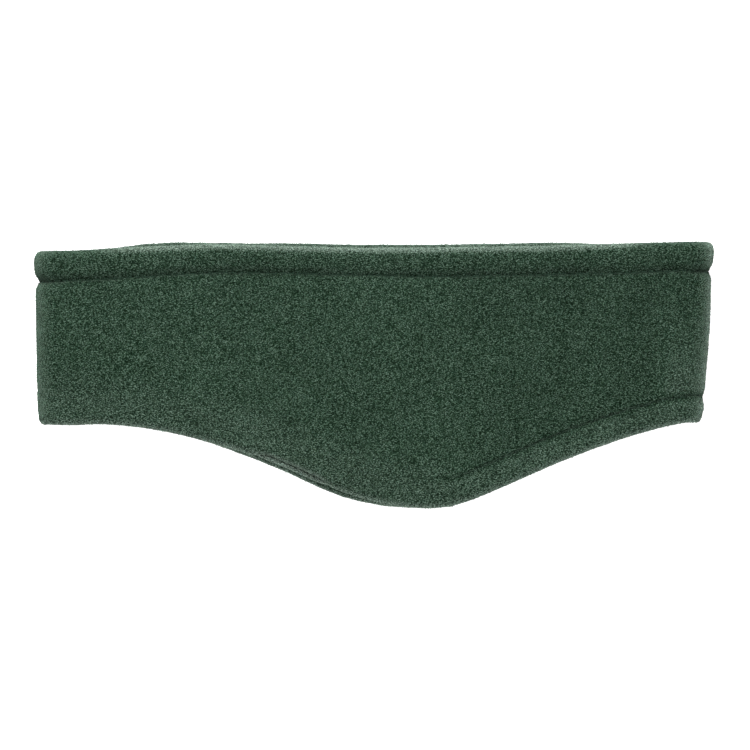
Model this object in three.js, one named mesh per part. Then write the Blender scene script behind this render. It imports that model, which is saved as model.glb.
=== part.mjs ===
// Fleece ear warmer headband, lying flat with a soft fold at each end. Millimetres, +Z up.
// +X runs along the flat band, +Y towards its upper edge, +Z up from the surface that it lies on.
// The origin is the middle of the underside.
import * as THREE from 'three';

// Plan of the flat-laid band
const FLAT_LENGTH = 253.4; // outer face to outer face of the wall at the two folds
const END_HEIGHT = 63.6; // edge to edge at the left fold
const EAR_DROP = 32.2; // how far the lower edge drops over the ears
const CREST_RISE = 3.6; // how far the upper edge climbs from the left fold to the right one
const EAR_LIP = 2.2; // how far the lower layer shows below the upper one
const CREST_LIP = 1.8; // how far the lower layer shows above the upper one
const RIGHT_LEAN = 3.9; // how far the right fold slopes inward towards its lower corner
const LEFT_LEAN = 0.8; // the same at the left fold
const LEAN_REACH = 70.0; // length of the band over which each slope builds up

// Fleece and hems
const WALL_THICK = 3.8; // thick brushed fleece
const TOP_HEM_WIDTH = 11.0; // edge to stitch line, at the right fold
const TOP_HEM_THICK = 6.2;
const BOTTOM_HEM_WIDTH = 9.8; // edge to stitch line
const BOTTOM_HEM_THICK = 5.0;
const STITCH_THICK = 2.2; // fleece pressed together under the stitches
const STITCH_PULL = 2.0; // how far from the stitches the wall has its full thickness again
const STITCH_GAP = 0.3; // clearance between the wall and each hem

// Hollow between the upper and the lower layer
const HOLLOW_MIDDLE = 4.6; // clear height between the hems halfway along
const HOLLOW_FOLD = 6.5; // and beside the folds
const FOLD_REACH = 6.2; // half length of the soft bend at each end

// Stations round the loop
const RUN_STATIONS = 30; // along each layer
const FOLD_STATIONS = 9; // round each fold
const WALL_ROWS = 6; // across the wall between its two pinched margins
const SLOPE_STEP = 0.01; // step along the band, as a share, for the slant of its lower edge

// The lower edge of the flat-laid band. at runs from -1 at the left fold to 1 at the right one.
// ear and lip are shares of EAR_DROP and EAR_LIP.
const LOWER_EDGE = [
  { at: -1.0, ear: 0.0, lip: 0.0 },
  { at: -0.84, ear: 0.01, lip: 0.0 },
  { at: -0.66, ear: 0.08, lip: 0.0 },
  { at: -0.48, ear: 0.24, lip: 0.2 },
  { at: -0.3, ear: 0.455, lip: 0.85 },
  { at: -0.12, ear: 0.77, lip: 1.0 },
  { at: 0.0, ear: 0.925, lip: 0.6 },
  { at: 0.13, ear: 0.995, lip: 0.1 },
  { at: 0.24, ear: 0.965, lip: 0.0 },
  { at: 0.41, ear: 0.7, lip: 0.0 },
  { at: 0.59, ear: 0.405, lip: 0.0 },
  { at: 0.77, ear: 0.175, lip: 0.0 },
  { at: 0.93, ear: 0.015, lip: 0.0 },
  { at: 1.0, ear: 0.0, lip: 0.0 },
];

// The upper edge, and the hem along it. crest, lip and hem are shares of CREST_RISE, CREST_LIP
// and TOP_HEM_WIDTH.
const UPPER_EDGE = [
  { at: -1.0, crest: 0.0, lip: 0.0, hem: 1.03 },
  { at: -0.83, crest: 0.14, lip: 0.0, hem: 1.03 },
  { at: -0.74, crest: 0.34, lip: 0.43, hem: 1.03 },
  { at: -0.65, crest: 0.45, lip: 0.9, hem: 1.0 },
  { at: -0.48, crest: 0.65, lip: 0.5, hem: 0.955 },
  { at: -0.36, crest: 0.6, lip: 0.55, hem: 0.94 },
  { at: -0.21, crest: 0.49, lip: 0.72, hem: 0.93 },
  { at: -0.07, crest: 0.36, lip: 0.77, hem: 0.925 },
  { at: 0.08, crest: 0.35, lip: 0.77, hem: 0.97 },
  { at: 0.23, crest: 0.41, lip: 0.75, hem: 1.0 },
  { at: 0.49, crest: 0.55, lip: 0.77, hem: 0.99 },
  { at: 0.61, crest: 0.67, lip: 0.43, hem: 0.99 },
  { at: 0.7, crest: 0.76, lip: 0.0, hem: 1.01 },
  { at: 0.9, crest: 0.97, lip: 0.0, hem: 1.0 },
  { at: 1.0, crest: 1.0, lip: 0.0, hem: 1.0 },
];

// Section of a hem past its stitches: across runs from the stitch line to the edge. swell is the
// share of the hem's full thickness there in the upper layer, and lying in the lower one, which the
// upper one presses flat.
const HEM_ROLL = [
  { across: 0.14, swell: 0.56, lying: 0.56 },
  { across: 0.36, swell: 0.82, lying: 0.76 },
  { across: 0.62, swell: 1.0, lying: 0.84 },
  { across: 0.83, swell: 0.88, lying: 0.82 },
  { across: 0.95, swell: 0.56, lying: 0.7 },
  { across: 1.0, swell: 0.16, lying: 0.34 },
];

// The wall beside a stitch line: out is the share of STITCH_PULL away from it, and swell the share
// of the way from the pressed thickness to the full one.
const WALL_MARGIN = [
  { out: 0.0, swell: 0.0 },
  { out: 0.4, swell: 0.75 },
];

const FLEECE_COLOUR = 0x31433a;
const fleece = new THREE.MeshStandardMaterial({ color: FLEECE_COLOUR, roughness: 0.95, metalness: 0 });

const smooth = (share) => {
  const t = Math.min(Math.max(share, 0), 1);
  return t * t * (3 - 2 * t);
};

// A column of a table read at a place, along a smooth curve through its rows
function read(table, column, at) {
  const last = table.length - 1;
  const place = Math.min(Math.max(at, table[0].at), table[last].at);
  let row = 0;
  while (row < last - 1 && table[row + 1].at < place) row += 1;
  const slope = (i) => {
    const before = table[Math.max(i - 1, 0)];
    const after = table[Math.min(i + 1, last)];
    return (after[column] - before[column]) / (after.at - before.at);
  };
  const span = table[row + 1].at - table[row].at;
  const t = (place - table[row].at) / span;
  const start = table[row][column] * (1 + 2 * t) * (1 - t) ** 2 + slope(row) * span * t * (1 - t) ** 2;
  const end = table[row + 1][column] * (3 - 2 * t) * t ** 2 - slope(row + 1) * span * (1 - t) * t ** 2;
  return start + end;
}

// Height of the upper layer's middle surface above the lower one's
const hemThick = Math.max(TOP_HEM_THICK, BOTTOM_HEM_THICK);
const lift = (at) => hemThick + HOLLOW_MIDDLE + (HOLLOW_FOLD - HOLLOW_MIDDLE) * smooth(Math.abs(at));

// One turn of the loop, seen from its open side: the middle of the wall and the way out of the loop
function loopStations() {
  const bendAt = (FLAT_LENGTH - WALL_THICK) / 2 - FOLD_REACH;
  const base = WALL_THICK / 2;
  const stations = [];
  const addRun = (direction, upper) => {
    for (let i = 0; i < RUN_STATIONS; i += 1) {
      const share = direction * (-1 + (2 * i) / (RUN_STATIONS - 1));
      const x = bendAt * share;
      const z = base + upper * lift(share);
      stations.push({ x, z, outX: 0, outZ: upper ? 1 : -1, upper });
    }
  };
  const addFold = (side) => {
    const half = lift(side) / 2;
    for (let i = 1; i <= FOLD_STATIONS; i += 1) {
      const turn = (Math.PI * i) / (FOLD_STATIONS + 1);
      const up = side * Math.cos(turn);
      const outX = side * Math.sin(turn);
      stations.push({
        x: side * bendAt + FOLD_REACH * outX,
        z: base + half + half * up,
        outX,
        outZ: up,
        upper: (1 + up) / 2,
      });
    }
  };
  addRun(1, 1);
  addFold(1);
  addRun(-1, 0);
  addFold(-1);
  return stations;
}

// Upper and lower edge, and the stitch lines inside them, where a station crosses the band
function edgesAt(station) {
  const at = (2 * station.x) / FLAT_LENGTH;
  const lower = 1 - station.upper;
  const bottomAt = (place) =>
    -EAR_DROP * read(LOWER_EDGE, 'ear', place) - EAR_LIP * read(LOWER_EDGE, 'lip', place) * lower;
  const bottom = bottomAt(at);
  const rise = CREST_RISE * read(UPPER_EDGE, 'crest', at);
  const lip = CREST_LIP * read(UPPER_EDGE, 'lip', at);
  const top = END_HEIGHT + rise + lip * lower;
  const topStitch = END_HEIGHT + rise - TOP_HEM_WIDTH * read(UPPER_EDGE, 'hem', at);
  const slope = (bottomAt(at + SLOPE_STEP) - bottomAt(at - SLOPE_STEP)) / (SLOPE_STEP * FLAT_LENGTH);
  const slant = Math.hypot(1, slope);
  return { top, bottom, topStitch, bottomStitch: bottom + BOTTOM_HEM_WIDTH * slant };
}

// Where a point of the fleece lies: y across the band, out of the loop by the given distance
function placed(station, y, out) {
  const { top, bottom } = edgesAt(station);
  const down = (top - y) / (top - bottom);
  const x = station.x + out * station.outX;
  const near = smooth(1 - (FLAT_LENGTH / 2 - Math.abs(x)) / LEAN_REACH);
  const lean = (x > 0 ? -RIGHT_LEAN : LEFT_LEAN) * near * down ** 2;
  const z = Math.max(station.z + out * station.outZ, 0);
  return new THREE.Vector3(x + lean, y, z);
}

// Rings of points joined to a closed body. Each ring is a section of the fleece, the same way round.
function closedLoop(rings) {
  const size = rings[0].length;
  const points = [];
  const faces = [];
  rings.forEach((ring) => ring.forEach((point) => points.push(point.x, point.y, point.z)));
  for (let i = 0; i < rings.length; i += 1) {
    const next = (i + 1) % rings.length;
    for (let j = 0; j < size; j += 1) {
      const k = (j + 1) % size;
      const [a, b, c, d] = [i * size + j, i * size + k, next * size + k, next * size + j];
      faces.push(a, c, b, a, d, c);
    }
  }
  const geometry = new THREE.BufferGeometry();
  geometry.setAttribute('position', new THREE.Float32BufferAttribute(points, 3));
  geometry.setIndex(faces);
  geometry.computeVertexNormals();
  return geometry;
}

// A section from rows of { y, half }: along the outer face, then back along the inner face
function sectionRing(station, rows) {
  const outer = rows.map(({ y, half }) => placed(station, y, half));
  const inner = rows.map(({ y, half }) => placed(station, y, -half)).reverse();
  return [...outer, ...inner];
}

// The wall between the two stitch lines, pressed thin along both
function wallRows(station) {
  const { topStitch, bottomStitch } = edgesAt(station);
  const low = bottomStitch + STITCH_GAP / 2;
  const high = topStitch - STITCH_GAP / 2;
  const pressed = STITCH_THICK / 2;
  const full = WALL_THICK / 2;
  const margin = (edge, side) =>
    WALL_MARGIN.map(({ out, swell }) => ({
      y: edge + side * STITCH_PULL * out,
      half: pressed + (full - pressed) * swell,
    }));
  const middle = [];
  for (let i = 0; i < WALL_ROWS; i += 1) {
    const y = low + STITCH_PULL + ((high - low - 2 * STITCH_PULL) * i) / (WALL_ROWS - 1);
    middle.push({ y, half: full });
  }
  return [...margin(low, 1), ...middle, ...margin(high, -1).reverse()];
}

// A hem between its stitch line and its edge
function hemRows(station, thick, from, to) {
  const pressed = STITCH_THICK / 2;
  const start = from + (Math.sign(to - from) * STITCH_GAP) / 2;
  const rows = [{ y: start, half: pressed }];
  HEM_ROLL.forEach(({ across, swell, lying }) => {
    const share = lying + (swell - lying) * station.upper;
    rows.push({ y: start + (to - start) * across, half: (thick / 2) * share });
  });
  return to > from ? rows : rows.reverse();
}

const stations = loopStations();

const bandGeometry = closedLoop(stations.map((station) => sectionRing(station, wallRows(station))));

const topHemGeometry = closedLoop(
  stations.map((station) => {
    const { topStitch, top } = edgesAt(station);
    return sectionRing(station, hemRows(station, TOP_HEM_THICK, topStitch, top));
  }),
);

const bottomHemGeometry = closedLoop(
  stations.map((station) => {
    const { bottomStitch, bottom } = edgesAt(station);
    return sectionRing(station, hemRows(station, BOTTOM_HEM_THICK, bottomStitch, bottom));
  }),
);

const pieces = [
  { name: 'band', geometry: bandGeometry, material: fleece },
  { name: 'top_hem', geometry: topHemGeometry, material: fleece },
  { name: 'bottom_hem', geometry: bottomHemGeometry, material: fleece },
];

// The origin goes to the middle of the underside
const box = new THREE.Box3();
pieces.forEach(({ geometry }) => {
  geometry.computeBoundingBox();
  box.union(geometry.boundingBox);
});
const middle = box.getCenter(new THREE.Vector3());

const headband = new THREE.Group();
pieces.forEach(({ name, geometry, material }) => {
  geometry.translate(-middle.x, -middle.y, -box.min.z);
  const mesh = new THREE.Mesh(geometry, material);
  mesh.name = name;
  headband.add(mesh);
});

export default headband;
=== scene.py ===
# Ear warmer headband of thick fleece, lying flat with a soft fold at each end.
import math

import bmesh
import bpy
import numpy as np
from mathutils import Matrix, Vector
from mathutils.kdtree import KDTree


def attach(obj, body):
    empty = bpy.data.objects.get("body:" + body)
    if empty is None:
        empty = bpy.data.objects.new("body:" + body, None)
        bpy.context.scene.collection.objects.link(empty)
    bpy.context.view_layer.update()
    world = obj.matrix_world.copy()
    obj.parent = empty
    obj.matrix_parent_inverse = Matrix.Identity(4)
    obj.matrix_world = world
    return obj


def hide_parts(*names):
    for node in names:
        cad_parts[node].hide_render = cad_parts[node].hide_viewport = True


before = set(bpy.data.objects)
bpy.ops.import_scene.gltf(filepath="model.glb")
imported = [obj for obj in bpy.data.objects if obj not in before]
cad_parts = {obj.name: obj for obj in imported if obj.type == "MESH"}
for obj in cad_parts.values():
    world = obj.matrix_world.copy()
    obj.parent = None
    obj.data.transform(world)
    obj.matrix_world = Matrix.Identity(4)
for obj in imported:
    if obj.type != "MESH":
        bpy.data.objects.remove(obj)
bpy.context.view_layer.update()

# The wall of the headband: one loop of thick brushed fleece, cut tall over the ears. It is knitted,
# brushed on both faces and cut to shape. Its two edges are pressed thin where the hems are sewn on.
WALL_HALF = 0.0019
WALL_VOXEL = 0.00085
MERGE_DISTANCE = 0.00001
FLOOR_CLEARANCE = 0.00002
PILE_STANDS = 0.0004
# Size, height and offset of each kind of wave in the cloth.
RUFFLES = ((0.030, 0.0007, 0.3), (0.006, 0.0003, 0.7), (0.0014, 0.00025, 0.5))

# The seams: how the edges are pressed, meet under the stitches and pucker.
PRESSED_HALF = 0.0011
SEAM_GAP = 0.0003
EDGE_FACING = 0.7
SEAM_STEP = 0.0005
SEAM_REACH = 0.0022
SEAM_DRAWS = 0.008
MEETING_GAP = 0.00001
CLOSING_REACH = 0.0016
CLEAR_START = 0.0008
CLEAR_FADE = 0.0025
CLEAR_STEPS = 10
OUTER_FACE = 0.0009
VALLEY_CURVE = 1.3
STITCH_PITCH = 0.0030
PUCKER_DEPTH = 0.00012
PUCKER_REACH = 0.0035
PUCKER_FILLED = 0.9
# Height, length and start of each wave by which a row of stitches strays.
WAVERS = ((0.00010, 0.0018, 1.3), (0.00007, 0.0008, 0.0))
WAVER_REACH = 0.004
ROLL_OVERHANG = 0.0003
PILES_MEET = 0.0008
UPPER_FILLED_WALL = 0.50
UPPER_FILLED_HEM = 0.15
UPPER_FILLED_END = 0.112
UPPER_FILLED_FADE = 0.012
LOWER_FILLED_END = 0.015
LOWER_FILLED_FADE = 0.035
LOWER_FILLED_LOSS = 0.62

# The lower hem beside its seam, and its corner at the fold over the forehead.
BOTTOM_HEM_REACH = 0.0125
BOTTOM_HEM_CROWN = 0.0005
CROWN_REACH = 0.002
LEVEL_END = 0.0075
LEVEL_FADE = 0.0025
CORNER_DROP = 0.0009
CORNER_START = -0.098
CORNER_FADE = 0.016
CORNER_RISE = 0.008

# Painted light and shade in the fleece's colour, from painted shade at -1 to painted light at 1: painted
# shade in the creases beside the stitches, and painted light on parts of the wall, on the folds and along
# the hems' rims.
CREASE_SHADE = 0.85
CREASE_REACH = 0.0016
FLANK_SHARE = 0.25
FLANK_REACH = 0.0045
SHALLOW_START = 0.6
SHALLOW_FADE = 0.4
LOWER_PAINTED_LIGHT = 0.07
LOWER_BLEND = 0.012
BACK_DARKER = 0.15
BACK_SPAN = (0.020, 0.112)
BACK_FADES = (0.035, 0.010)
FOLD_PAINTED_LIGHT = 0.16
FOLD_START = 0.102
FOLD_FADE = 0.014
FOLD_TOP = 0.035
FOLD_TOP_FADE = 0.060
# Painted light on the folds: at the fold over the forehead, and at the fold behind the head.
FOLD_RIM_LIGHT = (0.08, 0.72)
TURNED_START = 0.6
TURNED_FADE = 0.4
UPPER_LAYER = 0.006
UPPER_LAYER_FADE = 0.003
LOWER_LAYER_RIM = 0.35
RIM_START = 0.15
RIM_FADE = 0.70
RIM_END = 0.108
RIM_END_FADE = 0.02
LOWER_RIM_CURVE = 2.3

# The brushed surface: colours of its pits, its middle and its tips, with painted shade in the pits and
# painted highlight on the tips, and the pale colour of the painted highlight along its edges.
PEBBLE_SIZE = 0.00046
PEBBLE_STRETCH = 0.6
FIBRE_SIZE = 0.00026
FIBRE_STRETCH = 0.35
BLOTCH_SIZE = 0.025
PILE_RELIEF = 0.0005
STREAK_ANGLE = math.radians(53.0)
FLEECE_PIT = (0.0022, 0.0080, 0.0036, 1.0)
FLEECE_MIDDLE = (0.0245, 0.0520, 0.0315, 1.0)
FLEECE_TIP = (0.1450, 0.2200, 0.1680, 1.0)
FLEECE_PAINTED_HIGHLIGHT = (0.3600, 0.4200, 0.3800, 1.0)
SHEEN_TINT = (0.60, 0.82, 0.66, 1.0)
PAINTED_LIGHT_GAIN = 1.8
PALE_SHARE = 0.42


def deselect_all():
    if bpy.context.object and bpy.context.object.mode != "OBJECT":
        bpy.ops.object.mode_set(mode="OBJECT")
    bpy.ops.object.select_all(action="DESELECT")


def make_active(piece):
    deselect_all()
    piece.select_set(True)
    bpy.context.view_layer.objects.active = piece


def linked(name, data):
    """A new object of the scene that shows the given mesh, curve, light or camera."""
    new_object = bpy.data.objects.new(name, data)
    bpy.context.scene.collection.objects.link(new_object)
    return new_object


def copy_of_node(node, name):
    """A new piece with the node's own shape, its corners merged."""
    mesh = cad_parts[node].data.copy()
    mesh.name = name
    mesh.materials.clear()
    piece = linked(name, mesh)
    make_active(piece)
    bpy.ops.object.mode_set(mode="EDIT")
    bpy.ops.mesh.select_all(action="SELECT")
    bpy.ops.mesh.remove_doubles(threshold=MERGE_DISTANCE)
    bpy.ops.object.mode_set(mode="OBJECT")
    return piece


def apply_modifier(piece, kind, **settings):
    make_active(piece)
    modifier = piece.modifiers.new(kind.title(), kind)
    for key, value in settings.items():
        setattr(modifier, key, value)
    bpy.ops.object.modifier_apply(modifier=modifier.name)


def ruffle(piece, size, height, offset):
    """Soft unevenness of one size, worked into the cloth away from its seams."""
    cloud = bpy.data.textures.new(f"{piece.name}_cloud", "CLOUDS")
    cloud.noise_scale = size
    cloud.noise_depth = 1
    cloud.noise_basis = "ORIGINAL_PERLIN"
    piece.data.transform(Matrix.Translation((offset, 0, 0)))
    apply_modifier(
        piece, "DISPLACE", texture=cloud, texture_coords="LOCAL", strength=height,
        mid_level=0.5, vertex_group="clear_of_seams",
    )
    piece.data.transform(Matrix.Translation((-offset, 0, 0)))
    bpy.data.textures.remove(cloud)


def smooth_step(share):
    t = np.clip(share, 0.0, 1.0)
    return t * t * (3 - 2 * t)


def places_of(mesh):
    found = np.empty(len(mesh.vertices) * 3, np.float32)
    mesh.vertices.foreach_get("co", found)
    return found.reshape(-1, 3).astype(float)


def move_to(mesh, places):
    mesh.vertices.foreach_set("co", places.astype(np.float32).ravel())


def lift_off_floor(places):
    places[:, 2] = np.maximum(places[:, 2], FLOOR_CLEARANCE)


def unit(vectors):
    return vectors / np.maximum(np.linalg.norm(vectors, axis=-1, keepdims=True), 1e-9)


def tree_of(points):
    """The points, ready to be searched for the one that is nearest to a place."""
    tree = KDTree(len(points))
    for i, point in enumerate(points):
        tree.insert(point, i)
    tree.balance()
    return tree


def ordered_loops(edges):
    """The closed loops that the given edges form, as lists of points."""
    links = {}
    for edge in edges:
        a, b = edge.verts
        links.setdefault(a, []).append(b)
        links.setdefault(b, []).append(a)
    loops = []
    while links:
        start = next(iter(links))
        loop, before, here = [], None, start
        while here in links:
            loop.append(here.co.copy())
            after = [v for v in links.pop(here) if v is not before and v in links]
            before, here = here, after[0] if after else None
        loops.append(np.array(loop))
    return loops


def length_of(loop):
    return np.linalg.norm(np.diff(loop, axis=0), axis=1).sum()


def walked(loop, step):
    """The same loop with a point at every step along it."""
    closed = np.vstack([loop, loop[:1]])
    along = np.concatenate([[0.0], np.cumsum(np.linalg.norm(np.diff(closed, axis=0), axis=1))])
    places = np.linspace(0.0, along[-1], round(along[-1] / step), endpoint=False)
    return np.stack([np.interp(places, along, closed[:, i]) for i in range(3)], axis=1)


def stitch_line(side):
    """The line along which the wall is sewn to a hem, side 1 above and -1 below, with the ways out of
    the cloth and across it to the hem, and the length so far, at every step."""
    shape = bmesh.new()
    shape.from_mesh(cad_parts["band"].data)
    bmesh.ops.remove_doubles(shape, verts=shape.verts, dist=MERGE_DISTANCE)
    shape.normal_update()
    ends = {face for face in shape.faces if face.normal.y * side > EDGE_FACING}
    rims = [edge for edge in shape.edges if sum(face in ends for face in edge.link_faces) == 1]
    loops = sorted(ordered_loops(rims), key=length_of, reverse=True)
    shape.free()
    outer, inner = walked(loops[0], SEAM_STEP), walked(loops[1], SEAM_STEP)
    tree = tree_of(inner)
    facing = np.array([tree.find(point)[0] for point in outer])
    out = unit(outer - facing)
    along = unit(np.roll(outer, -1, axis=0) - np.roll(outer, 1, axis=0))
    across = unit(np.cross(along, out))
    across *= np.sign(across[:, 1:2]) * side
    middle = (outer + facing) / 2 + across * SEAM_GAP / 2
    run = np.arange(len(outer)) * SEAM_STEP
    return {"side": side, "middle": middle, "out": out, "across": across, "run": run}


stitch_lines = {"top": stitch_line(1), "bottom": stitch_line(-1)}


def waver(x):
    """How far a row of stitches strays to either side of its marked course."""
    return sum(height * np.sin(x / length + start) for height, length, start in WAVERS)


def filling(line, x, reach):
    """How much of the valley beside a stitch line the soft fleece fills: nearly all of it below the
    forehead, and less towards the back of the head, and beside the stitches of the upper hem, most on
    the wall's side of them."""
    if line["side"] > 0:
        most = np.where(reach < 0, UPPER_FILLED_WALL, UPPER_FILLED_HEM)
        return most * (1 - smooth_step((np.abs(x) - UPPER_FILLED_END) / UPPER_FILLED_FADE))
    return 1.0 - LOWER_FILLED_LOSS * smooth_step((x - LOWER_FILLED_END) / LOWER_FILLED_FADE)


def mark_clear_of_seams(piece, free):
    """A vertex group that keeps the seams out of the waves and out of the standing pile."""
    group = piece.vertex_groups.new(name="clear_of_seams")
    for level in range(1, CLEAR_STEPS + 1):
        over = free > (level - 0.5) / CLEAR_STEPS
        under = free <= (level + 0.5) / CLEAR_STEPS
        group.add(np.flatnonzero(over & under).tolist(), level / CLEAR_STEPS, "REPLACE")


def draw_to_seams(piece):
    """The pressed edges of a piece meet its neighbour's under the stitches, with small puckers. At each
    corner of the mesh it then tells how much painted light is kept beside the creases, how far the lower
    hem blends into the wall, and how much painted shade darkens the creases, and it marks how clear of the
    seams the pile is."""
    places = places_of(piece.data)
    free, painted_light_kept = np.ones(len(places)), np.ones(len(places))
    blended, painted_crease_shade = np.zeros(len(places)), np.zeros(len(places))
    for line in stitch_lines.values():
        upper = line["side"] > 0
        tree = tree_of(line["middle"])
        near = np.array([tree.find(place)[1] for place in places])
        offset = places - line["middle"][near]
        distance = np.linalg.norm(offset, axis=1)
        out, across = line["out"][near], line["across"][near]
        reach = (offset * across).sum(1)
        height = (offset * out).sum(1)
        away = np.abs(reach)
        on_hem = reach > 0
        near_by = distance < SEAM_DRAWS
        beside = distance < (SEAM_DRAWS if upper else BOTTOM_HEM_REACH)
        clear = smooth_step((away - CLEAR_START) / CLEAR_FADE)
        outside = smooth_step(height / OUTER_FACE)
        share = filling(line, places[:, 0], reach)

        past = SEAM_GAP / 2 - MEETING_GAP + PILES_MEET * outside * share
        if upper:
            past += ROLL_OVERHANG * outside * on_hem
        closing = -np.sign(reach) * past * smooth_step(1 - away / (CLOSING_REACH + CLOSING_REACH * share))
        wander = waver(line["middle"][near][:, 0]) * smooth_step(1 - away / WAVER_REACH)

        valley = (WALL_HALF - PRESSED_HALF) * np.clip(1 - away / SEAM_REACH, 0, 1) ** VALLEY_CURVE
        if not upper:
            lowered = height - BOTTOM_HEM_CROWN * smooth_step(reach / CROWN_REACH)
            wall_level = WALL_HALF * smooth_step((LEVEL_END - reach) / LEVEL_FADE)
            valley = np.where(on_hem, np.maximum(lowered, wall_level) - height, valley)
        pile = PILE_STANDS * (1 - clear)
        pucker = -PUCKER_DEPTH * (0.5 + 0.5 * np.cos(math.tau * line["run"][near] / STITCH_PITCH))
        pucker *= smooth_step(1 - away / PUCKER_REACH) * (1 - PUCKER_FILLED * share)
        lift = outside * (share * (valley + pile) + pucker)

        places += np.where(near_by, closing + wander, 0)[:, None] * across
        places += np.where(beside, lift, 0)[:, None] * out
        if not upper:
            corner = smooth_step((CORNER_START - places[:, 0]) / CORNER_FADE)
            corner *= smooth_step(reach / CORNER_RISE)
            places += np.where(beside, CORNER_DROP * corner, 0)[:, None] * across
            blended = outside * share * smooth_step(1 - distance / LOWER_BLEND)

        free = np.minimum(free, np.where(near_by, clear, 1))
        # Painted light fades out beside the creases that the fleece doesn't fill.
        painted_light_kept = np.minimum(painted_light_kept, np.where(near_by, 1 - (1 - clear) * (1 - share), 1))
        # Painted shade in the crease beside the stitches, and on the upper hem's lower flank, where the
        # valley is not filled.
        shade = (1 - FLANK_SHARE) * smooth_step(1 - away / CREASE_REACH)
        if upper:
            shade += FLANK_SHARE * smooth_step(1 - away / FLANK_REACH) * on_hem
        deep = 1 - smooth_step((share - SHALLOW_START) / SHALLOW_FADE)
        painted_crease_shade = np.maximum(painted_crease_shade, np.where(near_by, deep * shade, 0))
    lift_off_floor(places)
    move_to(piece.data, places)
    mark_clear_of_seams(piece, free)
    return painted_light_kept, blended, painted_crease_shade


def painted_light_on_wall(places, blended):
    """Painted light on the wall beside the fold behind the head and where the lower hem blends into it, and
    the wall darker over the back of the head."""
    x, y = places[:, 0], places[:, 1]
    back = smooth_step((x - BACK_SPAN[0]) / BACK_FADES[0]) * smooth_step((BACK_SPAN[1] - x) / BACK_FADES[1])
    beside_fold = smooth_step((x - FOLD_START) / FOLD_FADE) * smooth_step((FOLD_TOP - y) / FOLD_TOP_FADE)
    return LOWER_PAINTED_LIGHT * blended - BACK_DARKER * back + FOLD_PAINTED_LIGHT * beside_fold


def mark_painted_light_and_shade(piece, painted_light_kept, painted_light_all_over, rim_light, painted_crease_shade=0.0):
    """Painted light where the cloth turns over an edge: on its folds and along its upper rim, or along its
    lower one where the rim value is negative, and a share of painted light all over the piece. The first
    value fades the painted light out beside creases that the fleece doesn't fill. Painted shade darkens the
    creases beside the stitches, and there the mark falls below zero."""
    mesh = piece.data
    normals = np.empty(len(mesh.vertices) * 3, np.float32)
    mesh.vertex_normals.foreach_get("vector", normals)
    normals = normals.reshape(-1, 3).astype(float)
    places = places_of(mesh)
    sideways = np.linalg.norm(normals[:, :2], axis=1)
    at_fold = smooth_step((sideways - TURNED_START) / TURNED_FADE) * np.abs(normals[:, 0])
    at_fold *= np.where(places[:, 0] < 0, *FOLD_RIM_LIGHT)
    outward = np.clip(normals[:, 1] * np.sign(rim_light), 0, 1)
    if rim_light > 0:
        upper = smooth_step((places[:, 2] - UPPER_LAYER) / UPPER_LAYER_FADE)
        facing = smooth_step((outward - RIM_START) / RIM_FADE)
        facing *= LOWER_LAYER_RIM + (1 - LOWER_LAYER_RIM) * upper
        facing *= smooth_step((RIM_END - np.abs(places[:, 0])) / RIM_END_FADE)
    else:
        facing = outward**LOWER_RIM_CURVE
    share = np.maximum(at_fold, abs(rim_light) * facing)
    share = painted_light_kept * (painted_light_all_over + (1 - painted_light_all_over) * share) - CREASE_SHADE * painted_crease_shade
    attribute = mesh.attributes.new("painted_light_and_shade", "FLOAT", "POINT")
    attribute.data.foreach_set("value", share.astype(np.float32))


def add(tree, kind, inputs=None, **settings):
    node = tree.nodes.new(kind)
    for key, value in settings.items():
        setattr(node, key, value)
    for key, value in (inputs or {}).items():
        if isinstance(value, bpy.types.NodeSocket):
            tree.links.new(value, node.inputs[key])
        else:
            node.inputs[key].default_value = value
    return node


def stretched(tree, value, low, high, start, end):
    """The value with its range from low to high stretched to run from start to end."""
    return add(tree, "ShaderNodeMapRange", {"Value": value, 1: low, 2: high, 3: start, 4: end}).outputs[0]


def times(tree, colour, factor):
    """A colour multiplied by a value or, part by part, by another colour."""
    parts = {0: 1.0, 6: colour, 7: factor}
    return add(tree, "ShaderNodeMix", parts, data_type="RGBA", blend_type="MULTIPLY").outputs[2]


def shaded(tree, value, first, last, *between):
    """The value as a colour, by stops that give a share from 0 to 1 and the colour there."""
    ramp = add(tree, "ShaderNodeValToRGB", {"Fac": value})
    elements = ramp.color_ramp.elements
    elements[0].position, elements[0].color = first
    elements[1].position, elements[1].color = last
    for share, colour in between:
        elements.new(share).color = colour
    return ramp.outputs["Color"]


def noise(tree, where, scale, detail=2.0, roughness=0.5):
    """Soft random values and colours, so many of them to a metre."""
    spread = {"Vector": where, "Scale": scale, "Detail": detail, "Roughness": roughness}
    return add(tree, "ShaderNodeTexNoise", spread).outputs


def along_streaks(tree, where, stretch):
    """Places turned to the slant of the knit and drawn out along it."""
    turn = {"Vector": where, "Rotation": (0, 0, -STREAK_ANGLE), "Scale": (stretch, 1.0, 1.0)}
    return add(tree, "ShaderNodeMapping", turn).outputs[0]


def empty_material(name):
    """A material with no nodes yet, its node tree and the place on the piece that it colours."""
    material = bpy.data.materials.new(name)
    material.use_nodes = True
    tree = material.node_tree
    tree.nodes.clear()
    return material, tree, add(tree, "ShaderNodeTexCoord").outputs["Object"]


def finish_material(tree, **inputs):
    """The surface itself, with its inputs by name."""
    shader = add(tree, "ShaderNodeBsdfPrincipled", {key.replace("_", " "): v for key, v in inputs.items()})
    add(tree, "ShaderNodeOutputMaterial", {"Surface": shader.outputs[0]})


def attribute_of(tree, name):
    """The piece's own attribute of the given name."""
    return add(tree, "ShaderNodeAttribute", attribute_name=name, attribute_type="GEOMETRY").outputs


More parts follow.
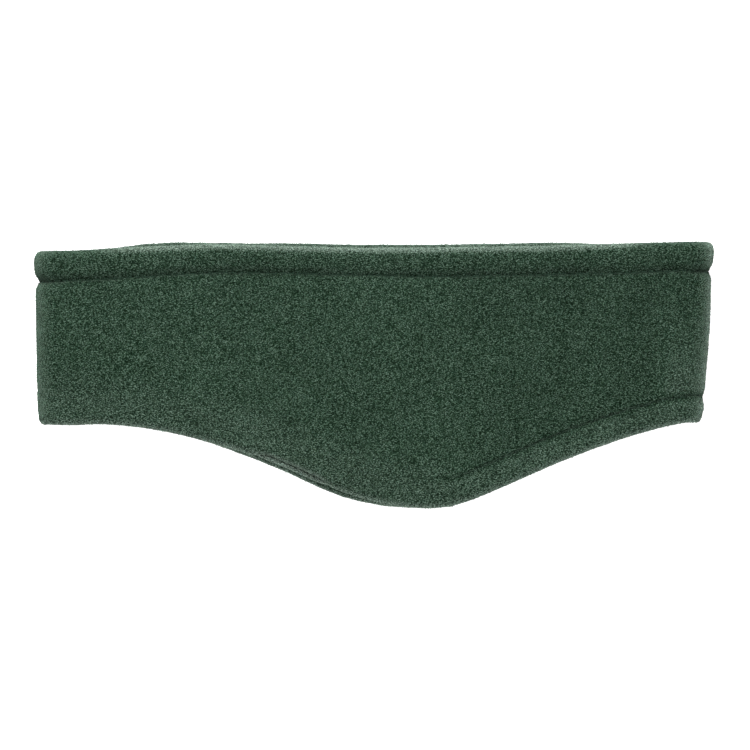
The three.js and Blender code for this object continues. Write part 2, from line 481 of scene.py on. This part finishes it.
def pile_with_painted_light_and_shade(tree, colour, grain):
    """The colour with painted light and shade: darker where the mark is below zero, lighter where it is
    above, and mixed towards a pale painted highlight, which has the same grain as the rest."""
    painted_light_and_shade = attribute_of(tree, "painted_light_and_shade")["Fac"]
    gain = stretched(tree, painted_light_and_shade, -1.0, 1.0, 2.0 - PAINTED_LIGHT_GAIN, PAINTED_LIGHT_GAIN)
    lighter = times(tree, colour, gain)
    share = add(tree, "ShaderNodeMath", {0: painted_light_and_shade, 1: PALE_SHARE}, operation="MULTIPLY").outputs[0]
    fine = times(tree, FLEECE_PAINTED_HIGHLIGHT, grain)
    return add(tree, "ShaderNodeMix", {0: share, 6: lighter, 7: fine}, data_type="RGBA").outputs[2]


def fleece_material(name):
    """Brushed fleece: its nap gathers in small pebbles and slanting strands, with painted shade in the pits
    between them and painted highlight on their tips."""
    material, tree, where = empty_material(name)
    wobble = {0: noise(tree, where, 0.7 / PEBBLE_SIZE)["Color"], 1: (0.5, 0.5, 0.5)}
    shift = add(tree, "ShaderNodeVectorMath", wobble, operation="SUBTRACT").outputs[0]
    push = add(tree, "ShaderNodeVectorMath", {0: shift, "Scale": PEBBLE_SIZE}, operation="SCALE").outputs[0]
    moved = add(tree, "ShaderNodeVectorMath", {0: where, 1: push}, operation="ADD").outputs[0]
    slanted = along_streaks(tree, moved, PEBBLE_STRETCH)
    pebble = add(
        tree, "ShaderNodeTexVoronoi",
        {"Vector": slanted, "Scale": 1.25 / PEBBLE_SIZE, "Smoothness": 0.35}, feature="SMOOTH_F1",
    )
    strand = along_streaks(tree, where, FIBRE_STRETCH)
    fibre = noise(tree, strand, 1 / FIBRE_SIZE, roughness=0.6)["Fac"]
    crown = stretched(tree, pebble.outputs["Distance"], 0.15, 0.65, 1.0, 0.0)
    fuzz = stretched(tree, fibre, 0.3, 0.7, 0.0, 1.0)
    pile = add(tree, "ShaderNodeMix", {0: 0.5, 2: crown, 3: fuzz}, data_type="FLOAT").outputs[0]
    knit = shaded(tree, pile, (0.25, FLEECE_PIT), (0.80, FLEECE_TIP), (0.52, FLEECE_MIDDLE))
    blotch = noise(tree, where, 1 / BLOTCH_SIZE, detail=3.0, roughness=0.6)["Fac"]
    colour = times(tree, knit, stretched(tree, blotch, 0.3, 0.7, 0.9, 1.1))
    grain = stretched(tree, pile, 0.3, 0.7, 0.2, 1.8)
    bump = add(tree, "ShaderNodeBump", {"Height": pile, "Strength": 1.0, "Distance": PILE_RELIEF})
    finish_material(
        tree, Base_Color=pile_with_painted_light_and_shade(tree, colour, grain), Normal=bump.outputs["Normal"], Roughness=0.95,
        Specular_IOR_Level=0.0, Sheen_Weight=0.3, Sheen_Roughness=0.3, Sheen_Tint=SHEEN_TINT,
    )
    return material


fleece = fleece_material("brushed_fleece")


def fleece_piece(node, name, voxel, painted_light_all_over=0.0, rim_light=0.0):
    """One piece of the cloth with its pile standing, its edges drawn to the seams and soft waves."""
    piece = copy_of_node(node, name)
    apply_modifier(piece, "REMESH", mode="VOXEL", voxel_size=voxel, use_smooth_shade=True)
    apply_modifier(piece, "SMOOTH", factor=0.5, iterations=2)
    painted_light_kept, blended, painted_crease_shade = draw_to_seams(piece)
    apply_modifier(
        piece, "DISPLACE", strength=PILE_STANDS, mid_level=0.0, vertex_group="clear_of_seams"
    )
    for size, height, offset in RUFFLES:
        ruffle(piece, size, height, offset)
    places = places_of(piece.data)
    lift_off_floor(places)
    move_to(piece.data, places)
    piece.data.materials.append(fleece)
    make_active(piece)
    bpy.ops.object.shade_smooth()
    if node == "band":
        painted_light_all_over = painted_light_on_wall(places, blended)
    mark_painted_light_and_shade(piece, painted_light_kept, painted_light_all_over, rim_light, painted_crease_shade)
    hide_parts(node)
    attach(piece, "root")
    return piece


band = fleece_piece("band", "band_fleece", WALL_VOXEL)

# The upper hem: the wall's upper edge turned over into a plump roll of the same fleece and sewn down
# through all its layers. A painted highlight runs along its crest, where it turns over.
TOP_HEM_VOXEL = 0.00065
TOP_HEM_PAINTED_LIGHT = 0.01
TOP_HEM_RIM_LIGHT = 0.65

top_hem = fleece_piece("top_hem", "top_hem_fleece", TOP_HEM_VOXEL, TOP_HEM_PAINTED_LIGHT, TOP_HEM_RIM_LIGHT)

# The lower hem: the wall's lower edge turned under once and sewn down, flatter than the upper one. It is of
# the same fleece, made a little lighter by painted light, with a painted highlight along its lower rim.
BOTTOM_HEM_VOXEL = 0.00065
BOTTOM_HEM_PAINTED_LIGHT = 0.08
BOTTOM_HEM_RIM_LIGHT = -0.95

bottom_hem = fleece_piece(
    "bottom_hem", "bottom_hem_fleece", BOTTOM_HEM_VOXEL, BOTTOM_HEM_PAINTED_LIGHT, BOTTOM_HEM_RIM_LIGHT
)

# The turned-under ply of the lower hem: over the forehead the hem's outer face is drawn up a little, and
# the ply that it was turned over shows below it as a thin roll of the same fleece, made much lighter by
# painted light.
PLY_RADIUS = 0.0012
PLY_SPAN = (-0.0465, -0.0150)
PLY_FADES = (0.008, 0.006)
PLY_DROP = 0.0006
PLY_TUCK = 0.0008
PLY_POINTS = 34
PLY_BENDS = 3
PLY_PAINTED_LIGHT = 0.75
EDGE_WINDOW = 0.0008
HOLLOW_LEVEL = 0.009
FACE_DRAWN_UP = 0.0017
DRAWN_WIDTH = 0.0060
LAYER_DEPTH = 0.0035
LAYER_FADE = 0.0015


def course_of_edge(hem):
    """The lowest course of the hem's outer layer along the ply, smoothed, as places from left to right."""
    places = places_of(hem.data)
    places = places[places[:, 2] > HOLLOW_LEVEL]
    run = np.linspace(*PLY_SPAN, PLY_POINTS)
    beside = [places[np.abs(places[:, 0] - x) < EDGE_WINDOW] for x in run]
    edge = np.array([near[near[:, 1].argmin()] for near in beside])
    smooth = [np.polyval(np.polyfit(run, edge[:, i], PLY_BENDS), run) for i in (1, 2)]
    return np.stack([run, *smooth], axis=1)


def bow(x):
    """From 0 at both ends of the ply to 1 over most of its length."""
    start, end = PLY_SPAN
    return smooth_step((x - start) / PLY_FADES[0]) * smooth_step((end - x) / PLY_FADES[1])


def draw_up_face(hem, course):
    """The outer layer of the hem moves up from the ply, most at its edge."""
    places = places_of(hem.data)
    low = np.interp(places[:, 0], course[:, 0], course[:, 1])
    level = np.interp(places[:, 0], course[:, 0], course[:, 2])
    beside = smooth_step(1 - (places[:, 1] - low) / DRAWN_WIDTH)
    layer = smooth_step((places[:, 2] - level + LAYER_DEPTH) / LAYER_FADE)
    places[:, 1] += FACE_DRAWN_UP * bow(places[:, 0]) * beside * layer
    move_to(hem.data, places)
    hem.data.update()


def turned_under_ply(course):
    """A thin roll of the same fleece along the hem's true edge, tucked in at both its ends."""
    course = course.copy()
    course[:, 1] += PLY_RADIUS + PLY_TUCK * (1 - bow(course[:, 0]))
    course[:, 2] -= PLY_DROP
    curve = bpy.data.curves.new("turned_under_ply", "CURVE")
    curve.dimensions = "3D"
    curve.bevel_depth = PLY_RADIUS
    curve.bevel_resolution = 3
    curve.use_fill_caps = True
    spline = curve.splines.new("POLY")
    spline.points.add(len(course) - 1)
    for point, place in zip(spline.points, course):
        point.co = (*place, 1.0)
    piece = linked("turned_under_ply", curve)
    make_active(piece)
    bpy.ops.object.convert(target="MESH")
    piece = bpy.context.object
    apply_modifier(piece, "SUBSURF", levels=1, render_levels=1)
    piece.data.materials.append(fleece)
    bpy.ops.object.shade_smooth()
    # Painted light all over the ply, and a painted highlight along its lower rim.
    mark_painted_light_and_shade(piece, np.ones(len(piece.data.vertices)), PLY_PAINTED_LIGHT, BOTTOM_HEM_RIM_LIGHT)
    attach(piece, "root")
    return piece


hem_course = course_of_edge(bottom_hem)
draw_up_face(bottom_hem, hem_course)
ply = turned_under_ply(hem_course)

# The topstitching: one row of polyester thread along each hem, on both faces of the cloth. Each
# stitch sinks into the pile between two punctures.
THREAD_RADIUS = 0.00020
THREAD_SUNK = 0.4
STITCH_LENGTH = 0.0024
STITCH_SINK = 0.00030
STITCH_DEPTH = 0.0006
BURIED_START = 0.5
BURIED_FADE = 0.4
TWIST_SCALE = 6000.0
TWIST_RELIEF = 0.0001
THREAD_VALLEY = (0.0072, 0.0180, 0.0108, 1.0)
THREAD_RIDGE = (0.0192, 0.0480, 0.0288, 1.0)


def thread_material():
    material, tree, where = empty_material("sewing_thread")
    twist = noise(tree, where, TWIST_SCALE, detail=1.0)["Fac"]
    bump = add(tree, "ShaderNodeBump", {"Height": twist, "Strength": 0.5, "Distance": TWIST_RELIEF})
    finish_material(
        tree, Base_Color=shaded(tree, twist, (0.35, THREAD_VALLEY), (0.65, THREAD_RIDGE)),
        Normal=bump.outputs["Normal"], Roughness=0.6, Specular_IOR_Level=0.1,
    )
    return material


thread = thread_material()


def one_stitch():
    """A short length of thread along X, bowed so that both ends go down into the cloth."""
    deselect_all()
    bpy.ops.mesh.primitive_cylinder_add(vertices=6, radius=THREAD_RADIUS, depth=STITCH_LENGTH)
    stitch = bpy.context.object
    bpy.ops.object.mode_set(mode="EDIT")
    bpy.ops.mesh.select_all(action="SELECT")
    bpy.ops.transform.rotate(value=math.pi / 2, orient_axis="Y", center_override=(0, 0, 0))
    bpy.ops.mesh.select_all(action="DESELECT")
    shape = bmesh.from_edit_mesh(stitch.data)
    for edge in shape.edges:
        edge.select_set(abs(edge.verts[0].co.x - edge.verts[1].co.x) > STITCH_LENGTH / 2)
    bmesh.update_edit_mesh(stitch.data)
    bpy.ops.mesh.subdivide(number_cuts=3)
    bpy.ops.object.mode_set(mode="OBJECT")
    for vertex in stitch.data.vertices:
        vertex.co.z -= STITCH_SINK * (2 * vertex.co.x / STITCH_LENGTH) ** 2
    return stitch


def joined_copies(name, template, origins, ways):
    """One mesh of many copies of a small shape, each at its place and turned its own way."""
    points = places_of(template.data)
    faces = [list(polygon.vertices) for polygon in template.data.polygons]
    copies = np.einsum("pk,nkj->npj", points, ways) + origins[:, None, :]
    vertices = copies.reshape(-1, 3)
    sizes = np.tile([len(face) for face in faces], len(origins))
    corners = np.concatenate([np.array(face) for face in faces])
    corners = (np.arange(len(origins))[:, None] * len(points) + corners[None, :]).ravel()
    mesh = bpy.data.meshes.new(name)
    mesh.vertices.add(len(vertices))
    move_to(mesh, vertices)
    mesh.loops.add(len(corners))
    mesh.loops.foreach_set("vertex_index", corners.astype(np.int32))
    mesh.polygons.add(len(sizes))
    starts = np.concatenate([[0], np.cumsum(sizes)[:-1]])
    mesh.polygons.foreach_set("loop_start", starts.astype(np.int32))
    mesh.update(calc_edges=True)
    mesh.validate()
    return linked(name, mesh)


def stitching(name, line, template):
    """Both rows of one seam: the needle thread outside and the bobbin thread inside the loop."""
    length = len(line["middle"])
    count = round(line["run"][-1] / STITCH_PITCH)
    at = (np.arange(count) + 0.5) * length / count
    low = np.floor(at).astype(int) % length
    middle, across = line["middle"][low], line["across"][low]
    along = unit(np.roll(line["middle"], -2, axis=0) - np.roll(line["middle"], 2, axis=0))[low]
    under_roll = ROLL_OVERHANG if line["side"] > 0 else 0
    origins, ways = [], []
    for face in (1, -1):
        out = line["out"][low] * face
        fill = filling(line, middle[:, 0], -1) if face > 0 else 0
        surface = PRESSED_HALF + fill * (WALL_HALF - PRESSED_HALF + PILE_STANDS)
        surface -= THREAD_SUNK * THREAD_RADIUS
        surface -= STITCH_DEPTH * smooth_step((fill - BURIED_START) / BURIED_FADE)
        origin = middle + out * np.reshape(surface * np.ones(count), (-1, 1))
        origin += across * (under_roll + waver(middle[:, 0]))[:, None]
        origins.append(origin)
        ways.append(np.stack([along, np.cross(out, along), out], axis=1))
    piece = joined_copies(name, template, np.concatenate(origins), np.concatenate(ways))
    piece.data.materials.append(thread)
    make_active(piece)
    bpy.ops.object.shade_smooth()
    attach(piece, "root")
    return piece


stitch = one_stitch()
top_stitching = stitching("top_stitching", stitch_lines["top"], stitch)
bottom_stitching = stitching("bottom_stitching", stitch_lines["bottom"], stitch)
bpy.data.objects.remove(stitch)

# The nap: tufts of brushed fibre all over the fleece, combed one way along the slant of the knit.
# They are thick on the outer faces, and worn short inside the loop and on the underside.
TUFT_LENGTH = (0.0004, 0.0009)
TUFT_WIDTH = (0.00015, 0.00030)
TUFT_RISE = (0.20, 0.60)
TUFT_SINK = 0.00012
TUFT_SCATTER = 0.40
TUFT_RADIUS = 0.58
UPPER_NAP_LEVEL = 0.0083
FOLD_NAP_START = 0.119
WORN_NAP = 0.12
EDGE_NAP = 0.8
OUTWARD_FROM = -0.1
EDGE_FROM = 0.5
NAP_COLOUR = (0.0405, 0.0755, 0.0500, 1.0)
NAP_TONES = (0.15, 2.30)
NAP_WARMTH = 0.05
NAP_PAINTED_LIGHT = (0.4, 1.0)
TIP_PAINTED_LIGHT = 1.3
ROOT_PAINTED_SHADE = 0.55
CLUMP_SIZE = 0.0009
CLUMP_TONES = (0.30, 1.70)
CLUMP_KINDS = 997
CLUMP_STEPS = (7919, 104729, 1299709)
CLUMP_START = 0.35
CLUMP_FADE = 0.35
BAKED_MAP = "OFBake"
MAP_MARGIN = 0.08
MAP_LEG = 0.42


def nap_material():
    """The tufts' fibre: painted shade at the root and painted light at the tip, each tuft of a slightly
    different green, with the painted light and shade of the cloth below it."""
    material, tree, where = empty_material("fleece_nap")
    own = attribute_of(tree, "tone_and_painted_shade")["Color"]
    grain = stretched(tree, noise(tree, where, 1 / FIBRE_SIZE)["Fac"], 0.3, 0.7, 0.75, 1.25)
    tuft_colour = times(tree, times(tree, NAP_COLOUR, own), grain)
    finish_material(
        tree, Base_Color=pile_with_painted_light_and_shade(tree, tuft_colour, own), Roughness=0.9, Specular_IOR_Level=0.0,
        Sheen_Weight=0.15, Sheen_Roughness=0.3, Sheen_Tint=SHEEN_TINT,
    )
    return material


nap_fibre = nap_material()


def one_tuft():
    """A flat three-sided lock of fibre, one unit wide and long, that leans along Y."""
    deselect_all()
    middle = (0, 0, 0.5)
    bpy.ops.mesh.primitive_cone_add(vertices=3, radius1=TUFT_RADIUS, radius2=0, depth=1.0, location=middle)
    tuft = bpy.context.object
    bpy.ops.object.mode_set(mode="EDIT")
    bpy.ops.mesh.select_all(action="DESELECT")
    shape = bmesh.from_edit_mesh(tuft.data)
    for vertex in shape.verts:
        vertex.select_set(vertex.co.z > 0.4)
    bmesh.update_edit_mesh(tuft.data)
    bpy.ops.transform.translate(value=(0, 1.0, 0))
    bpy.ops.object.mode_set(mode="OBJECT")
    tuft.data.transform(Matrix.Translation(tuft.location))
    tuft.location = (0, 0, 0)
    return tuft


def surface_of(piece):
    """Corners, normals, areas and middles of the triangles of a piece."""
    mesh = piece.data
    mesh.calc_loop_triangles()
    corners = np.empty(len(mesh.loop_triangles) * 3, np.int32)
    mesh.loop_triangles.foreach_get("vertices", corners)
    corners = corners.reshape(-1, 3)
    a, b, c = (places_of(mesh)[corners[:, i]] for i in range(3))
    cross = np.cross(b - a, c - a)
    return corners, (a, b, c), unit(cross), np.linalg.norm(cross, axis=1) / 2, (a + b + c) / 3


def thickness_of_nap(normal, middle):
    """How thick the pile stands at each place, from 0 to 1."""
    upper = middle[:, 2] > UPPER_NAP_LEVEL
    at_fold = np.abs(middle[:, 0]) > FOLD_NAP_START
    outward = np.where(upper, normal[:, 2], -normal[:, 2])
    outward = np.where(at_fold, normal[:, 0] * np.sign(middle[:, 0]), outward)
    share = np.where((outward > OUTWARD_FROM) & (upper | at_fold), 1.0, WORN_NAP)
    return np.where(np.abs(normal[:, 1]) > EDGE_FROM, np.maximum(share, EDGE_NAP), share)


def lay_out(mesh, tufts):
    """A map with a square of its own for every tuft, a quarter of it for each face."""
    side = math.ceil(math.sqrt(tufts))
    cell = np.arange(tufts)
    corner = np.stack([cell % side, cell // side], axis=1) / side
    quarters = np.array([(0, 0), (1, 0), (0, 1), (1, 1)]) / 2
    triangle = np.array([(MAP_MARGIN, MAP_MARGIN), (MAP_LEG, MAP_MARGIN), (MAP_MARGIN, MAP_LEG)])
    spots = corner[:, None, None] + (quarters[:, None] + triangle[None, :])[None] / side
    chart = mesh.uv_layers.new(name=BAKED_MAP)
    chart.uv.foreach_set("vector", spots.astype(np.float32).ravel())


def nap(name, base, tufts, seed, template):
    """Tufts rooted all over a piece, each with its own length, lean and green, with painted shade at the
    root and painted light at the tip.
    """
    rng = np.random.default_rng(seed)
    corners, (a, b, c), normal, area, middle = surface_of(base)
    weight = area * thickness_of_nap(normal, middle)
    chosen = rng.choice(len(area), size=tufts, p=weight / weight.sum())
    u, v = rng.random(tufts), rng.random(tufts)
    folded = u + v > 1
    u[folded], v[folded] = 1 - u[folded], 1 - v[folded]
    root = a[chosen] + u[:, None] * (b - a)[chosen] + v[:, None] * (c - a)[chosen]
    up = normal[chosen]
    combed = np.array([math.cos(STREAK_ANGLE), math.sin(STREAK_ANGLE), 0.0])
    lean = combed + rng.normal(0, TUFT_SCATTER, (tufts, 3))
    lean = unit(lean - (lean * up).sum(1)[:, None] * up)
    across = np.cross(lean, up)
    length = rng.uniform(*TUFT_LENGTH, tufts)[:, None]
    width = rng.uniform(*TUFT_WIDTH, tufts)[:, None]
    rise = rng.uniform(*TUFT_RISE, tufts)[:, None]
    ways = np.stack([across * width, lean * length * np.sqrt(1 - rise**2), up * length * rise], axis=1)
    piece = joined_copies(name, template, root - up * TUFT_SINK, ways)
    mesh = piece.data
    places = places_of(mesh)
    places[:, 2] = np.maximum(places[:, 2], 0.0)
    move_to(mesh, places)

    # Painted shade at each tuft's root and painted light at its tip, times its own tone and, at the folds,
    # the tone of its clump.
    tip = places_of(template.data)[:, 2] > 0.5
    cell = np.floor(root / CLUMP_SIZE).astype(int) @ np.array(CLUMP_STEPS)
    clump = rng.uniform(*CLUMP_TONES, CLUMP_KINDS)[cell % CLUMP_KINDS]
    clump = 1 + (clump - 1) * smooth_step((np.abs(up[:, 0]) - CLUMP_START) / CLUMP_FADE)
    shade = (clump * rng.uniform(*NAP_TONES, tufts))[:, None] * np.where(tip, TIP_PAINTED_LIGHT, ROOT_PAINTED_SHADE)[None, :]
    warmth = rng.normal(0, NAP_WARMTH, tufts)[:, None] * np.ones(len(tip))[None, :]
    colours = np.stack([shade * (1 + warmth), shade, shade * (1 - warmth), np.ones_like(shade)], axis=-1)
    tone_and_painted_shade = mesh.attributes.new("tone_and_painted_shade", "FLOAT_COLOR", "POINT")
    tone_and_painted_shade.data.foreach_set("color", colours.astype(np.float32).ravel())

    # Each tuft takes the painted light and shade of the cloth at its root.
    painted_at_root = np.empty(len(base.data.vertices), np.float32)
    base.data.attributes["painted_light_and_shade"].data.foreach_get("value", painted_at_root)
    share = painted_at_root[corners[chosen, 0]] * rng.uniform(*NAP_PAINTED_LIGHT, tufts) * clump
    painted_light_and_shade = mesh.attributes.new("painted_light_and_shade", "FLOAT", "POINT")
    painted_light_and_shade.data.foreach_set("value", np.repeat(share, len(tip)).astype(np.float32))

    lay_out(mesh, tufts)
    mesh.materials.append(nap_fibre)
    make_active(piece)
    bpy.ops.object.shade_smooth()
    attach(piece, "root")
    return piece


tuft = one_tuft()
naps = [
    nap("band_nap_long", band, 45000, 11, tuft),
    nap("band_nap_short", band, 45000, 12, tuft),
    nap("top_hem_nap", top_hem, 22000, 13, tuft),
    nap("bottom_hem_nap", bottom_hem, 22000, 14, tuft),
    nap("turned_under_ply_nap", ply, 600, 15, tuft),
]
bpy.data.objects.remove(tuft)

# The camera looks straight down on the flat-laid band, from so far that the lens sees the whole
# picture's width at the band's upper surface.
MM_PER_PIXEL = 0.3744
PICTURE_WIDTH = 750
TOP_SURFACE = 0.016
LENS = 250.0
SENSOR = 36.0
CAMERA_SHIFT = 0.0004
CLIP_END = 100.0

camera_data = bpy.data.cameras.new("camera")
camera_data.lens = LENS
camera_data.sensor_width = SENSOR
camera_data.clip_end = CLIP_END
camera = linked("camera", camera_data)
distance = PICTURE_WIDTH * MM_PER_PIXEL / 1000 * LENS / SENSOR
camera.location = (CAMERA_SHIFT, 0.0, TOP_SURFACE + distance)
bpy.context.scene.camera = camera

# The studio: a pale floor lit from within like a light table, a soft key light from beyond the upper
# edge, a low light from the front and a faint one overhead.
FLOOR_SIZE = 6.0
FLOOR_LEVEL = -0.0002
FLOOR_COLOUR = (0.85, 0.85, 0.85, 1.0)
FLOOR_GLOW = 0.8
WORLD_LIGHT = 0.4
WHITE = (1, 1, 1, 1)

deselect_all()
bpy.ops.mesh.primitive_plane_add(size=FLOOR_SIZE, location=(0, 0, FLOOR_LEVEL))
floor = bpy.context.object
floor.name = "floor"
floor_material = bpy.data.materials.new("pale_floor")
floor_material.use_nodes = True
floor_inputs = floor_material.node_tree.nodes["Principled BSDF"].inputs
floor_inputs["Base Color"].default_value = FLOOR_COLOUR
floor_inputs["Roughness"].default_value = 0.9
floor_inputs["Emission Color"].default_value = WHITE
floor_inputs["Emission Strength"].default_value = FLOOR_GLOW
floor.data.materials.append(floor_material)


def area_light(name, place, size, power):
    """A square light that faces the middle of the band."""
    data = bpy.data.lights.new(name, "AREA")
    data.shape = "SQUARE"
    data.size = size
    data.energy = power
    light = linked(name, data)
    light.location = place
    light.rotation_mode = "QUATERNION"
    light.rotation_quaternion = (-Vector(place)).to_track_quat("-Z", "Y")


area_light("key", place=(-0.15, 1.15, 0.75), size=0.7, power=40.0)
area_light("front", place=(0.15, -1.20, 0.20), size=0.5, power=15.0)
area_light("overhead", place=(0.0, -0.3, 1.6), size=1.2, power=3.0)
world = bpy.data.worlds.new("studio")
bpy.context.scene.world = world
world.use_nodes = True
world.node_tree.nodes["Background"].inputs["Color"].default_value = WHITE
world.node_tree.nodes["Background"].inputs["Strength"].default_value = WORLD_LIGHT
bpy.context.scene.view_settings.view_transform = "Standard"
